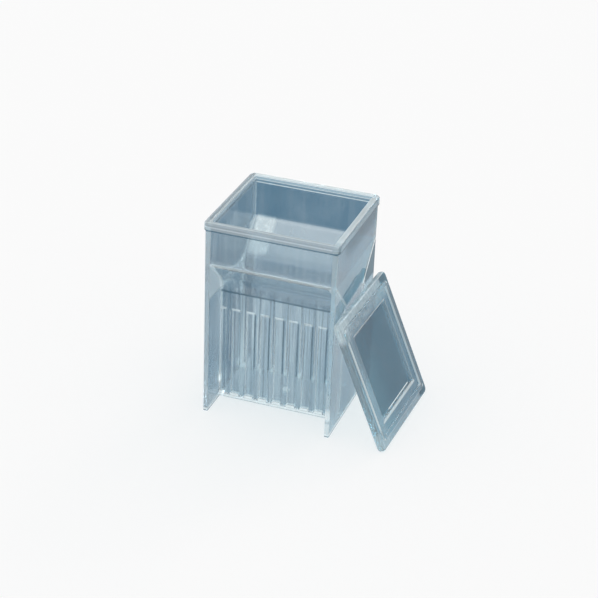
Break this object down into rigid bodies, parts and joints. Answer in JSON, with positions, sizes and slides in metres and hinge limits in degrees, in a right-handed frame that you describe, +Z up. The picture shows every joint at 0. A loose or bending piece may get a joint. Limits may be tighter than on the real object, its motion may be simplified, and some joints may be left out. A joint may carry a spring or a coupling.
{
  "type": "slide staining jar",
  "caption": "Clear plastic jar for staining microscope slides: grooved slide tank under a hopper and wide mouth, side plates for feet, and its lid leaning beside it.",
  "frame": {"origin": "on the surface that the jar stands on, under the middle of the jar", "axes": "+Z up, +X across the slide grooves towards the side plate that the lid leans on, -Y towards the front, one of the two sides that the hopper draws in"},
  "size_m": [0.0907, 0.0615, 0.095],
  "materials": {
    "jar_plastic": "clear, moulded, slightly hazy blue-grey",
    "lid_plastic": "clear, moulded, slightly hazy blue-grey"
  },
  "bodies": {
    "root": {"jar": "jar_plastic", "lid": "lid_plastic"}
  },
  "joints": []
}
